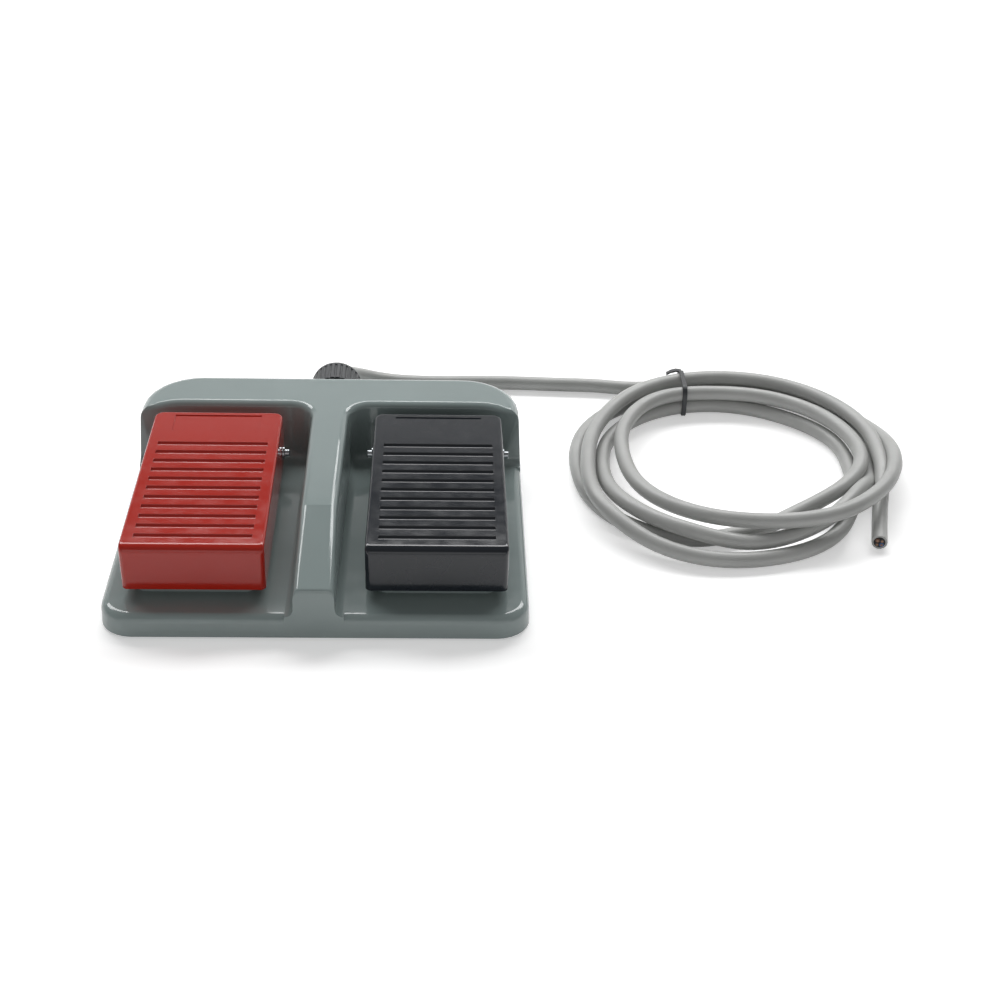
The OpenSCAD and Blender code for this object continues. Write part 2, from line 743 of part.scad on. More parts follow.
// Retaining clips that snap into the pin's grooves from above
module pin_clips(side) color(steel) {
    groove = pedal_w / 2 + touch + fit;
    neck = pin_d - 2 * pin_groove;
    mouth = neck - pin_snap;
    along_x(side * pedal_x, pivot_y, pivot_z) for (z = [-groove - clip_t, groove]) translate([0, 0, z])
        difference() {
            cylinder(d = neck + pin_d, h = clip_t);
            translate([0, 0, -over]) cylinder(d = neck + 2 * fit, h = clip_t + 2 * over);
            translate([0, -mouth / 2, -over]) cube([2 * pin_d, mouth, clip_t + 2 * over]);
        }
}

module push_rod(side) color(case_black) {
    low = case_top + button_out + fit;
    head = rod_top - rod_head_t;
    r = rod_head_r;
    translate([side * pedal_x, rod_y, 0]) rotate_extrude() polygon(concat(
        [[0, low], [rod_d / 2, low], [rod_d / 2, head], [rod_head_d / 2, head]],
        [for (i = [0:edge_steps]) let (a = 90 * i / edge_steps)
            [rod_head_d / 2 - r * (1 - cos(a)), rod_top - r + r * sin(a)]],
        [[0, rod_top]]
    ));
}

module rod_seal(side) color(rubber) {
    translate([side * pedal_x, rod_y, plinth_z - seal_t]) difference() {
        cylinder(d = seal_d, h = seal_t - fit);
        translate([0, 0, -over]) cylinder(d = rod_d + 4 * running, h = seal_t + 2 * over);
    }
}

module return_spring(side) color(steel) {
    r = (spring_d - spring_wire) / 2;
    low = spring_seat + spring_wire / 2 + fit;
    rise = spring_top - spring_wire / 2 - low;
    steps = 12;
    count = spring_turns * steps;
    translate([side * pedal_x, spring_y, 0]) tube(
        [for (i = [0:count]) let (a = 360 * i / steps) [r * cos(a), r * sin(a), low + rise * i / count]],
        spring_wire, 8
    );
}

module switch_case(side) color(case_black) {
    x = side * pedal_x;
    difference() {
        translate([x - switch_t / 2, case_y - switch_l / 2, case_low]) cube([switch_t, switch_l, switch_h]);
        translate([x, rod_y, case_top - button_in - rod_stroke - over])
            cylinder(d = button_d + 2 * running, h = button_in + rod_stroke + 2 * over);
        for (p = switch_holes()) along_x(x - switch_t / 2 - over, p[0], p[1])
            cylinder(d = switch_screw_d + 2 * fit, h = switch_t + 2 * over);
        for (face = [-1, 1]) translate([x + face * switch_t / 2, case_y, case_low + panel_up + panel_h / 2])
            cube([2 * panel_depth, panel_l, panel_h], center = true);
    }
}

module switch_button(side) color(red_paint) {
    translate([side * pedal_x, rod_y, case_top - button_in])
        cylinder(d = button_d, h = button_in + button_out);
}

module switch_terminals(side) color(terminal_brass) {
    for (k = [-1:1]) translate([side * pedal_x, case_y + k * lug_pitch, case_low - lug_h / 2]) difference() {
        cube([lug_t, lug_w, lug_h], center = true);
        along_x(-lug_t, 0, 0) cylinder(d = lug_hole_d, h = 2 * lug_t);
    }
}

module switch_screws(side) color(steel) {
    x = side * pedal_x;
    for (p = switch_holes()) {
        along_x(x - switch_t / 2 - web_t - fit, p[0], p[1])
            cylinder(d = switch_screw_d, h = web_t + switch_t + 2 * fit);
        along_x(x + switch_t / 2 + fit, p[0], p[1]) cylinder(d = switch_screw_head_d, h = switch_screw_head);
    }
}

module switch_leads(side) color(core_brown) {
    mirror([side > 0 ? 0 : 1, 0, 0]) for (r = core_routes) tube(r, core_d, 8);
}

module gland_body() color(rubber) {
    hex_d = locknut_af / cos(30);
    along_y(0, gland_seat_y, gland_z) difference() {
        union() {
            cylinder(d = hex_d, h = gland_flange_l, $fn = 6);
            translate([0, 0, -gland_thread_in])
                cylinder(d = gland_thread_d, h = gland_thread_in + gland_flange_l + gland_thread_out);
        }
        translate([0, 0, -gland_thread_in - over])
            cylinder(d = gland_bore_d, h = gland_thread_in + 2 * over + gland_flange_l);
        translate([0, 0, gland_flange_l]) cylinder(d = gland_throat_d, h = gland_thread_out + over);
    }
}

module gland_seal() color(seal_grey) {
    along_y(0, gland_seat_y + gland_flange_l + fit, gland_z) difference() {
        cylinder(d = gland_throat_d - 2 * fit, h = gland_thread_out);
        translate([0, 0, -over]) cylinder(d = cable_d + 2 * running, h = gland_thread_out + 2 * over);
    }
}

// Dome nut with fine grip flutes
module gland_nut() color(rubber) {
    r = gland_nut_d / 2;
    straight = gland_nut_l - gland_dome_l;
    bore_r = gland_bore_d / 2;
    thread_r = gland_thread_d / 2 + running;
    deep = gland_thread_out + gland_room;
    mouth_r = bore_r + gland_lip;
    along_y(0, gland_seat_y + gland_flange_l + touch, gland_z) difference() {
        rotate_extrude() polygon(concat(
            [[bore_r, gland_nut_l], [bore_r, deep], [thread_r, deep], [thread_r, 0], [r, 0]],
            [for (i = [0:edge_steps]) let (a = 90 * i / edge_steps)
                [mouth_r + (r - mouth_r) * cos(a), straight + gland_dome_l * sin(a)]]
        ));
        for (i = [0:flute_n - 1]) rotate([0, 0, 360 * i / flute_n])
            translate([r + flute_r * 0.35, 0, -over]) cylinder(r = flute_r, h = straight + over / 2);
    }
}

module gland_locknut() color(rubber) {
    along_y(0, bar_cavity_back - locknut_t, gland_z) difference() {
        cylinder(d = locknut_af / cos(30), h = locknut_t, $fn = 6);
        translate([0, 0, -over]) cylinder(d = gland_thread_d + 2 * running, h = locknut_t + 2 * over);
    }
}

module cable_lead() color(cable_grey) {
    tube(concat(lead_start, lead_route), cable_d, cable_sides);
}

module cable_coil() color(cable_grey) {
    r = coil_edge_r;
    in_r = coil_r - coil_w;
    translate([coil_at.x, coil_at.y, coil_lift]) rotate_extrude($fn = 96) polygon(
        round_rect(in_r, coil_r, 0, coil_h, r, r, edge_steps)
    );
}

module cable_tail() color(cable_grey) {
    tube(tail_route, cable_d, cable_sides);
}

// Tie that holds the turns together
module cable_tie() color(rubber) {
    r = coil_edge_r;
    in_r = coil_r - coil_w - tie_gap;
    out_r = coil_r + tie_gap + touch;
    low = coil_lift - tie_gap;
    top = coil_lift + coil_h + tie_gap;
    outside = round_rect(in_r - tie_t, out_r + tie_t, low - tie_t + tie_gap, top + tie_t, r, r, edge_steps);
    inside = round_rect(in_r, out_r, low, top, r, r, edge_steps);
    translate([coil_at.x, coil_at.y, 0]) rotate([0, 0, tie_angle]) rotate([90, 0, 0])
        translate([0, 0, -tie_w / 2]) linear_extrude(tie_w) difference() {
            polygon(outside);
            polygon(inside);
        }
}

base_casting();
bottom_plate();
bottom_plate_screws();
rubber_feet();
pedal_shell(-1, red_paint);  // left_pedal_shell
striker(-1);  // left_striker
pivot_pin(-1);  // left_pivot_pin
pin_clips(-1);  // left_pin_clips
push_rod(-1);  // left_push_rod
rod_seal(-1);  // left_rod_seal
return_spring(-1);  // left_return_spring
switch_case(-1);  // left_switch_case
switch_button(-1);  // left_switch_button
switch_terminals(-1);  // left_switch_terminals
switch_screws(-1);  // left_switch_screws
switch_leads(-1);  // left_switch_leads
pedal_shell(1, black_paint);  // right_pedal_shell
striker(1);  // right_striker
pivot_pin(1);  // right_pivot_pin
pin_clips(1);  // right_pin_clips
push_rod(1);  // right_push_rod
rod_seal(1);  // right_rod_seal
return_spring(1);  // right_return_spring
switch_case(1);  // right_switch_case
switch_button(1);  // right_switch_button
switch_terminals(1);  // right_switch_terminals
switch_screws(1);  // right_switch_screws
switch_leads(1);  // right_switch_leads
gland_body();
gland_seal();
gland_nut();
gland_locknut();
cable_lead();
cable_coil();
cable_tail();
cable_tie();
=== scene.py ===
import json
import math

import bmesh
import bpy
from mathutils import Matrix, Vector

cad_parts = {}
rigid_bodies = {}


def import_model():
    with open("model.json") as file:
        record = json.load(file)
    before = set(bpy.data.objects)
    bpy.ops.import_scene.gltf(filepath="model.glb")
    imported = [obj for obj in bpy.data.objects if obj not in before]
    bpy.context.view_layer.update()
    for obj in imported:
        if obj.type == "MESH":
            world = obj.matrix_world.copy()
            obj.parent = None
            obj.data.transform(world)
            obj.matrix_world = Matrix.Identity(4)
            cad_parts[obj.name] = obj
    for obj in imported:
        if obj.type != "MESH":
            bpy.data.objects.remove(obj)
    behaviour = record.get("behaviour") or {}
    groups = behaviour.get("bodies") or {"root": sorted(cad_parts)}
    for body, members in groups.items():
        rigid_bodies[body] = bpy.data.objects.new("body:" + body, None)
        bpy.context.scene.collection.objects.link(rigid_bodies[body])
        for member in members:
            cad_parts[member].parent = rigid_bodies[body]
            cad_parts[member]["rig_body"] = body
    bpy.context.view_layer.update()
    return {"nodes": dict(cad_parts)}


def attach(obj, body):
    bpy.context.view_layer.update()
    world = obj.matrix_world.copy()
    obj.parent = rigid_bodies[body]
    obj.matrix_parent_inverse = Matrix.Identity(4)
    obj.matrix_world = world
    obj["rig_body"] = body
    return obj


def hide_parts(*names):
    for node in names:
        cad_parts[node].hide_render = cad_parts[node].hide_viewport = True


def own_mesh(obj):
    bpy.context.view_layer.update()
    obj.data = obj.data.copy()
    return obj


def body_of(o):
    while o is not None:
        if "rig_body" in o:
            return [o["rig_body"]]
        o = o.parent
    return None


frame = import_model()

mm = 0.001

# camera at the photograph's viewing angle
cameraSettings = {
    "place": (51.0, -633.1, 428.5),  # mm
    "lens": 60.74,  # mm
    "sensor": 36,
    "nearest": 0.01,  # m
    "pitchDown": 32.99,  # degrees
    "yaw": 2.45,
    "roll": -1.82,
}


def makeCamera(s):
    pitch, yaw, roll = (math.radians(s[k]) for k in ("pitchDown", "yaw", "roll"))
    ahead = Vector((math.sin(yaw) * math.cos(pitch), math.cos(yaw) * math.cos(pitch), -math.sin(pitch)))
    right = Vector((math.cos(yaw), -math.sin(yaw), 0))
    down = ahead.cross(right)
    turnedRight = right * math.cos(roll) + down * math.sin(roll)
    turnedDown = down * math.cos(roll) - right * math.sin(roll)
    data = bpy.data.cameras.new("camera")
    data.lens = s["lens"]
    data.sensor_width = s["sensor"]
    data.clip_start = s["nearest"]
    camera = bpy.data.objects.new("camera", data)
    bpy.context.collection.objects.link(camera)
    turn = Matrix((turnedRight, -turnedDown, -ahead)).transposed()
    camera.matrix_world = Matrix.Translation(Vector(s["place"]) * mm) @ turn.to_4x4()
    bpy.context.scene.camera = camera


makeCamera(cameraSettings)
print("camera placed")


def linear(hexColour):
    channels = [int(hexColour[k:k + 2], 16) / 255 for k in (1, 3, 5)]
    return [c / 12.92 if c <= 0.04045 else ((c + 0.055) / 1.055) ** 2.4 for c in channels] + [1]


def addNode(tree, kind, settings=None, links=None):
    node = tree.nodes.new(kind)
    for key, value in (settings or {}).items():
        if isinstance(key, int) or key in node.inputs:
            node.inputs[key].default_value = value
        else:
            setattr(node, key, value)
    for key, source in (links or {}).items():
        tree.links.new(source, node.inputs[key])
    return node


def newMaterial(name):
    material = bpy.data.materials.new(name)
    material.use_nodes = True
    tree = material.node_tree
    place = addNode(tree, "ShaderNodeTexCoord").outputs["Object"]
    return material, tree, tree.nodes["Principled BSDF"], place


def perMm(size):
    return 1000 / size  # texture scale that repeats once in this many mm


noiseSpan = {"From Min": 0.3, "From Max": 0.7}  # where nearly all of a noise texture's values lie
metalShade = {"To Min": 0.88, "To Max": 1.05}  # of the colour as written, along the streaks
polymerShade = {"To Min": 0.92, "To Max": 1.06}


# stoved enamel, sprayed on a die casting and baked: an even colour under a hard mirror gloss, which a shallow
# orange peel and a slight haze break up
def enamel(name, s):
    material, tree, shader, place = newMaterial(name)
    cloud = addNode(tree, "ShaderNodeTexNoise", {"Scale": perMm(s["cloudMm"]), "Detail": 3}, {"Vector": place})
    shade = addNode(tree, "ShaderNodeMapRange",
                    {**noiseSpan, "To Min": 1 - s["cloud"], "To Max": 1 + s["cloud"]},
                    {"Value": cloud.outputs["Fac"]})
    paint = addNode(tree, "ShaderNodeHueSaturation", {"Color": linear(s["colour"])},
                    {"Value": shade.outputs["Result"]})
    rub = addNode(tree, "ShaderNodeTexNoise", {"Scale": perMm(s["hazeMm"]), "Detail": 4}, {"Vector": place})
    haze = addNode(tree, "ShaderNodeMapRange",
                   {**noiseSpan, "To Min": s["gloss"][0], "To Max": s["gloss"][1]},
                   {"Value": rub.outputs["Fac"]})
    peel = addNode(tree, "ShaderNodeTexNoise", {"Scale": perMm(s["peelMm"]), "Detail": 1}, {"Vector": place})
    bump = addNode(tree, "ShaderNodeBump", {"Strength": s["peelStrength"], "Distance": s["peelDepth"] * mm},
                   {"Height": peel.outputs["Fac"]})
    tree.links.new(paint.outputs["Color"], shader.inputs["Base Color"])
    tree.links.new(haze.outputs["Result"], shader.inputs["Roughness"])
    tree.links.new(bump.outputs["Normal"], shader.inputs["Normal"])
    shader.inputs["IOR"].default_value = 1.5
    return material


greyEnamel = enamel("greyStovedEnamel", {
    "colour": "#899594", "cloud": 0.03, "cloudMm": 40, "hazeMm": 9, "gloss": (0.06, 0.13),
    "peelMm": 3.5, "peelDepth": 0.04, "peelStrength": 0.12,
})
redEnamel = enamel("redStovedEnamel", {
    "colour": "#a61e0e", "cloud": 0.03, "cloudMm": 30, "hazeMm": 7, "gloss": (0.08, 0.16),
    "peelMm": 2.5, "peelDepth": 0.04, "peelStrength": 0.08,
})
blackEnamel = enamel("blackStovedEnamel", {
    "colour": "#1c2026", "cloud": 0.05, "cloudMm": 30, "hazeMm": 7, "gloss": (0.08, 0.16),
    "peelMm": 2.5, "peelDepth": 0.04, "peelStrength": 0.08,
})


# drawn, turned or stamped metal: bright, with fine streaks that break up the highlights
def metal(name, s):
    material, tree, shader, place = newMaterial(name)
    streak = addNode(tree, "ShaderNodeTexNoise", {"Scale": perMm(s["streakMm"]), "Detail": 4}, {"Vector": place})
    shade = addNode(tree, "ShaderNodeMapRange", {**noiseSpan, **metalShade},
                    {"Value": streak.outputs["Fac"]})
    tone = addNode(tree, "ShaderNodeHueSaturation", {"Color": linear(s["colour"])}, {"Value": shade.outputs["Result"]})
    dull = addNode(tree, "ShaderNodeMapRange",
                   {**noiseSpan, "To Min": s["gloss"][0], "To Max": s["gloss"][1]},
                   {"Value": streak.outputs["Fac"]})
    tree.links.new(tone.outputs["Color"], shader.inputs["Base Color"])
    tree.links.new(dull.outputs["Result"], shader.inputs["Roughness"])
    shader.inputs["Metallic"].default_value = 1
    return material


zincSteel = metal("zincPlatedSteel", {"colour": "#a6aaad", "streakMm": 1.5, "gloss": (0.14, 0.26)})
brass = metal("stampedBrass", {"colour": "#c0a058", "streakMm": 1.5, "gloss": (0.25, 0.4)})
copper = metal("strandedCopper", {"colour": "#8c7160", "streakMm": 0.4, "gloss": (0.3, 0.5)})


# moulded or extruded polymer: one colour to the eye, with a soft sheen over a fine grain
def polymer(name, s):
    material, tree, shader, place = newMaterial(name)
    cloud = addNode(tree, "ShaderNodeTexNoise", {"Scale": perMm(s["cloudMm"]), "Detail": 3}, {"Vector": place})
    shade = addNode(tree, "ShaderNodeMapRange", {**noiseSpan, **polymerShade},
                    {"Value": cloud.outputs["Fac"]})
    tone = addNode(tree, "ShaderNodeHueSaturation", {"Color": linear(s["colour"])}, {"Value": shade.outputs["Result"]})
    grain = addNode(tree, "ShaderNodeTexNoise", {"Scale": perMm(s["grainMm"]), "Detail": 2}, {"Vector": place})
    dull = addNode(tree, "ShaderNodeMapRange",
                   {**noiseSpan, "To Min": s["gloss"][0], "To Max": s["gloss"][1]},
                   {"Value": grain.outputs["Fac"]})
    bump = addNode(tree, "ShaderNodeBump", {"Strength": s["grainStrength"], "Distance": s["grainDepth"] * mm},
                   {"Height": grain.outputs["Fac"]})
    tree.links.new(tone.outputs["Color"], shader.inputs["Base Color"])
    tree.links.new(dull.outputs["Result"], shader.inputs["Roughness"])
    tree.links.new(bump.outputs["Normal"], shader.inputs["Normal"])
    shader.inputs["IOR"].default_value = s["ior"]
    return material


greyPvc = polymer("extrudedGreyPvc", {
    "colour": "#acadab", "cloudMm": 25, "grainMm": 1.2, "gloss": (0.36, 0.48),
    "grainDepth": 0.05, "grainStrength": 0.3, "ior": 1.53,
})
blackNylon = polymer("mouldedBlackNylon", {
    "colour": "#282b2e", "cloudMm": 12, "grainMm": 0.6, "gloss": (0.42, 0.54),
    "grainDepth": 0.03, "grainStrength": 0.3, "ior": 1.53,
})
blackRubber = polymer("mouldedBlackRubber", {
    "colour": "#222324", "cloudMm": 8, "grainMm": 0.7, "gloss": (0.6, 0.75),
    "grainDepth": 0.05, "grainStrength": 0.5, "ior": 1.52,
})
blackPhenolic = polymer("pressedBlackPhenolic", {
    "colour": "#272829", "cloudMm": 6, "grainMm": 0.6, "gloss": (0.3, 0.45),
    "grainDepth": 0.03, "grainStrength": 0.3, "ior": 1.6,
})
redPlastic = polymer("mouldedRedPlastic", {
    "colour": "#a7332b", "cloudMm": 4, "grainMm": 0.6, "gloss": (0.3, 0.4),
    "grainDepth": 0.02, "grainStrength": 0.3, "ior": 1.5,
})
coreColours = {"brownCorePvc": "#5a3a28", "blueCorePvc": "#3c5a86", "blackCorePvc": "#232425"}
corePvc = {name: polymer(name, {
    "colour": colour, "cloudMm": 3, "grainMm": 0.5, "gloss": (0.4, 0.5),
    "grainDepth": 0.02, "grainStrength": 0.2, "ior": 1.53,
}) for name, colour in coreColours.items()}

slotFinish = {
    "grey_casting": greyEnamel, "red_casting": redEnamel, "black_casting": blackEnamel, "zinc_steel": zincSteel,
    "black_rubber": blackRubber, "black_nylon": blackNylon, "black_phenolic": blackPhenolic,
    "red_plastic": redPlastic, "terminal_brass": brass, "grey_pvc": greyPvc,
}
print("materials made", len(bpy.data.materials))


def addPiece(name, data, body, slotName, *nodes):
    piece = bpy.data.objects.new(name, data)
    bpy.context.collection.objects.link(piece)
    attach(piece, body)
    if nodes:
        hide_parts(*nodes)
    return piece


# the cable: straight out of the gland, down to the table and round into a loosely tied coil
cableSettings = {
    "diameter": 7.2,  # mm
    "length": 2121,
    "exit": (0, 95, 21.5),
    "lead": [
        (0, 66, 21.5), (0, 86, 21.5), (0, 98, 21.5), (0.6, 105.5, 20.8), (2.6, 112.7, 18.8), (6.4, 119, 15.5),
        (12, 124, 11.6), (19, 127.6, 8.1), (28, 130, 5.5), (39, 131.4, 4.1), (52, 132.2, 3.7), (68, 132.7, 3.6),
        (88, 132.6, 3.6), (110, 131.6, 3.6), (132, 130.5, 3.6),
    ],
    "coilAt": (192, 48),
    "startAngle": 120,  # degrees from +X; the coil winds clockwise from here
    "stepAngle": 30,
    # radius and height of the cable at each step, a line for each turn
    "turns": [
        [(93, 3.6), (84, 3.6), (84, 3.6), (81.5, 5.6), (75.3, 12.6), (69.5, 15.6),
         (65, 16), (59.5, 15), (56.8, 13.2), (54, 10.6), (53.5, 9.5), (59, 10.8)],
        [(65, 11), (63.5, 10.8), (64, 10.8), (63, 10.8), (59.5, 10.8), (51, 10.4),
         (45, 6.2), (51, 3.7), (66, 3.6), (74, 3.6), (75.5, 3.6), (78.5, 3.6)],
        [(77.5, 3.6), (76, 3.6), (76, 3.6), (73.5, 3.6), (64.5, 3.9), (59, 10.6),
         (60, 8.6), (66, 8), (68, 10.9), (67.5, 10), (63.8, 5.9), (65, 3.7)],
        [(65, 3.6), (63.5, 3.6), (61, 3.6), (60, 3.6), (55.5, 3.6), (58.3, 3.6),
         (67, 3.6), (73, 3.6), (79.5, 6), (78, 10.6), (71, 11), (71.5, 10.8)],
        [(77, 10.8), (79.5, 10.8), (79.5, 10.8), (75, 11), (69, 10), (71.5, 3.8)],
    ],
    "tail": [(251.6, 2, 3.6), (248.8, -11, 3.6)],
    "handle": 0.34,  # of each span, which keeps an arc round
    "sides": 5,
    "spanSteps": 8,
}


def cableRoute(s):
    route = list(s["lead"])
    angle = s["startAngle"]
    for turn in s["turns"]:
        for radius, height in turn:
            x = s["coilAt"][0] + radius * math.cos(math.radians(angle))
            y = s["coilAt"][1] + radius * math.sin(math.radians(angle))
            route.append((x, y, height))
            angle -= s["stepAngle"]
    return [Vector(p) * mm for p in route + s["tail"]]


def makeCable(s):
    route = cableRoute(s)
    data = bpy.data.curves.new("cable", "CURVE")
    data.dimensions = "3D"
    data.bevel_depth = s["diameter"] / 2 * mm
    data.bevel_resolution = s["sides"]
    data.resolution_u = s["spanSteps"]
    data.use_fill_caps = True
    spline = data.splines.new("BEZIER")
    spline.bezier_points.add(len(route) - 1)
    for k, point in enumerate(spline.bezier_points):
        here = route[k]
        before = route[max(k - 1, 0)]
        after = route[min(k + 1, len(route) - 1)]
        stepIn, stepOut = here - before, after - here
        # along the round bend through the three points, also where their spans differ
        heading = (stepIn.normalized() * stepOut.length + stepOut.normalized() * stepIn.length).normalized()
        if not heading.length:
            heading = (after - before).normalized()
        if stepIn.z * stepOut.z <= 0:
            heading.z = 0  # level at each crest and where it comes to lie on the table
        else:
            # no steeper than keeps the cable between the two points beside it
            steepest = min(abs(stepIn.z) / stepIn.length, abs(stepOut.z) / stepOut.length) / s["handle"]
            heading.z = max(-steepest, min(steepest, heading.z))
        point.handle_left_type = point.handle_right_type = "FREE"
        point.co = here
        point.handle_left = here - heading * stepIn.length * s["handle"]
        point.handle_right = here + heading * stepOut.length * s["handle"]
    data.materials.append(greyPvc)
    return addPiece("cable", data, "base", "grey_pvc", "cable_lead", "cable_coil", "cable_tail")


cable = makeCable(cableSettings)
print("cable laid")

# the band that ties the turns together behind the coil
tieSettings = {
    "x": 174,  # mm, the upright plane that it lies in
    # place across the bundle and height of each strand inside it
    "strands": [(132.6, 3.6), (122.6, 3.6), (109.9, 3.6), (110.5, 11), (124.9, 10.8)],
    "slack": 0.3,
    "width": 2.3,
    "thickness": 0.9,
    "tableGap": 0.1,
    "tail": [(174.2, 127.3, 14.7), (171.4, 127.6, 14.9), (168.8, 127.2, 14.4), (166.4, 126.2, 13.6)],
    "tailWidth": 2.6,
    "sides": 24,  # of the round that the band takes over each strand
    "weld": 0.01,
    "softEdge": 0.2,
    "edgeAngle": 50,  # degrees
}
bevelSteps = 2


def makeTie(s):
    bm = bmesh.new()
    reach = cableSettings["diameter"] / 2 + s["slack"] + s["thickness"]
    for across, height in s["strands"]:
        for side in (-0.5, 0.5):
            ring = bmesh.ops.create_circle(bm, segments=s["sides"], radius=reach)["verts"]
            bmesh.ops.rotate(bm, verts=ring, matrix=Matrix.Rotation(math.radians(90), 3, "Y"))
            bmesh.ops.translate(bm, verts=ring, vec=(s["x"] + side * s["width"], across, height))
    hull = bmesh.ops.convex_hull(bm, input=bm.verts)
    spare = [v for v in hull["geom_interior"] + hull["geom_unused"] if isinstance(v, bmesh.types.BMVert)]
    bmesh.ops.delete(bm, geom=list(set(spare)), context="VERTS")
    ends = [f for f in bm.faces if abs(f.normal.x) > 0.9]
    bmesh.ops.delete(bm, geom=ends, context="FACES_ONLY")
    for v in bm.verts:
        v.co.z = max(v.co.z, s["tableGap"])
    bmesh.ops.remove_doubles(bm, verts=bm.verts, dist=s["weld"])
    bmesh.ops.recalc_face_normals(bm, faces=bm.faces)
    bmesh.ops.solidify(bm, geom=bm.faces, thickness=s["thickness"])

    # the twisted-off end, laid over the upper strand
    tip = bmesh.ops.create_grid(bm, x_segments=1, y_segments=1, size=0.5)["verts"]
    bmesh.ops.scale(bm, verts=tip, vec=(s["thickness"], s["tailWidth"], 1))
    bmesh.ops.rotate(bm, verts=tip, matrix=Matrix.Rotation(math.radians(-90), 3, "Y"))
    bmesh.ops.translate(bm, verts=tip, vec=s["tail"][0])
    face = tip[0].link_faces[0]
    for before, after in zip(s["tail"], s["tail"][1:]):
        grown = bmesh.ops.extrude_face_region(bm, geom=[face])["geom"]
        face = [g for g in grown if isinstance(g, bmesh.types.BMFace)][0]
        bmesh.ops.translate(bm, verts=face.verts, vec=Vector(after) - Vector(before))
    bmesh.ops.recalc_face_normals(bm, faces=bm.faces)
    bmesh.ops.scale(bm, verts=bm.verts, vec=(mm, mm, mm))
    mesh = bpy.data.meshes.new("tie")
    bm.to_mesh(mesh)
    bm.free()
    mesh.materials.append(blackNylon)
    piece = addPiece("tie", mesh, "base", "black_nylon", "cable_tie")
    edge = piece.modifiers.new("softEdge", "BEVEL")
    edge.width = s["softEdge"] * mm
    edge.segments = bevelSteps
    edge.limit_method = "ANGLE"
    edge.angle_limit = math.radians(s["edgeAngle"])
    return piece


tie = makeTie(tieSettings)

# the cut end: filler inside the sheath, four cores and the copper in them
cutSettings = {
    "fillerRadius": 2.75,  # mm
    "fillerProud": 0.1,  # how far it stands out of the cut
    "coreRadius": 1.05,
    "coreProud": 0.5,
    "coreRing": 1.45,  # radius that the cores lie on
    "strandRadius": 0.2,
    "strandProud": 0.8,
    "strandRing": 0.42,
    "cores": ["blackCorePvc", "brownCorePvc", "blackCorePvc", "blueCorePvc"],
    "strandsRound": 6,  # round the middle strand of each core
    "sunk": 1.0,  # how deep each of these starts inside the sheath
    "taper": 0.96,
    "sides": {"filler": 32, "core": 20, "strand": 8},
}


def makeCutEnd(s):
    finishes = [blackRubber, copper] + list(corePvc.values())
    bm = bmesh.new()

    def rod(radius, proud, x, y, finish, sides):
        depth = proud + s["sunk"]
        place = Matrix.Translation((x, y, proud - depth / 2))
        grown = bmesh.ops.create_cone(bm, cap_ends=True, segments=sides, radius1=radius, radius2=radius * s["taper"],
                                      depth=depth, matrix=place)["verts"]
        for face in {f for v in grown for f in v.link_faces}:
            face.material_index = finishes.index(finish)
            face.smooth = len(face.verts) == 4

    rod(s["fillerRadius"], s["fillerProud"], 0, 0, blackRubber, s["sides"]["filler"])
    for k, name in enumerate(s["cores"]):
        angle = math.tau * (k + 0.5) / len(s["cores"])
        x, y = s["coreRing"] * math.cos(angle), s["coreRing"] * math.sin(angle)
        rod(s["coreRadius"], s["coreProud"], x, y, corePvc[name], s["sides"]["core"])
        rod(s["strandRadius"], s["strandProud"], x, y, copper, s["sides"]["strand"])
        for strand in range(s["strandsRound"]):
            turn = math.tau * strand / s["strandsRound"]
            rod(s["strandRadius"], s["strandProud"], x + s["strandRing"] * math.cos(turn),
                y + s["strandRing"] * math.sin(turn), copper, s["sides"]["strand"])
    start, end = (Vector(p) for p in cableSettings["tail"])
    bmesh.ops.rotate(bm, verts=bm.verts, matrix=(end - start).to_track_quat("Z", "Y").to_matrix())
    bmesh.ops.translate(bm, verts=bm.verts, vec=end)
    bmesh.ops.scale(bm, verts=bm.verts, vec=(mm, mm, mm))
    mesh = bpy.data.meshes.new("cutEnd")
    bm.to_mesh(mesh)
    bm.free()
    for finish in finishes:
        mesh.materials.append(finish)
    return addPiece("cutEnd", mesh, "base", "grey_pvc")


cutEnd = makeCutEnd(cutSettings)
print("tie and cut end made")

# outer rear corner of each bay: the photograph has it wider and rounder than the solid
cornerSettings = {
    "floor": 11,  # mm, height of the bay's floor
    "barFace": 46.5,  # where the bar's wall meets the floor
    "barLean": 8,  # degrees
    "draft": 3,
    "wall": (23.2, 2.8),  # height above the floor where the top edge's rounding starts, and its radius
    "footRadius": 3.5,
    "endRadius": 2,
    "half": 88.48,  # of the casting's width, at the height of the floor
    "side": (21, 5),  # height where the outer edge's rounding starts, and its radius
    "sideSlack": 0.5,
    "near": 0.09,  # how far a point of the mesh may lie off a face that it belongs to
    "arcNear": 0.225,
    "turnNear": 0.02,  # radians
    "solid": {"inner": 84.2, "reach": 2, "reachLean": 0, "radius": 10},
    "shown": {"inner": 80.5, "reach": 4.8, "reachLean": 0.12, "radius": 20},
}
# the rib between the bays: the photograph has it slimmer than the solid, most of all at its nose, which is higher
ribSettings = {
    "across": (6.5, 20.1),  # mm from the middle, what belongs to its sides
    "above": 8.9,
    "ends": (-80, 54.4),
    "slimmer": (2.3, 1.2),  # each side, at the nose and at the bar
    "toe": (-75.5, 14.5, 6.4),  # its foot on the slab's front edge
    "nose": (-76, 16, 2.6),  # what lies before and above this is raised by the last
}
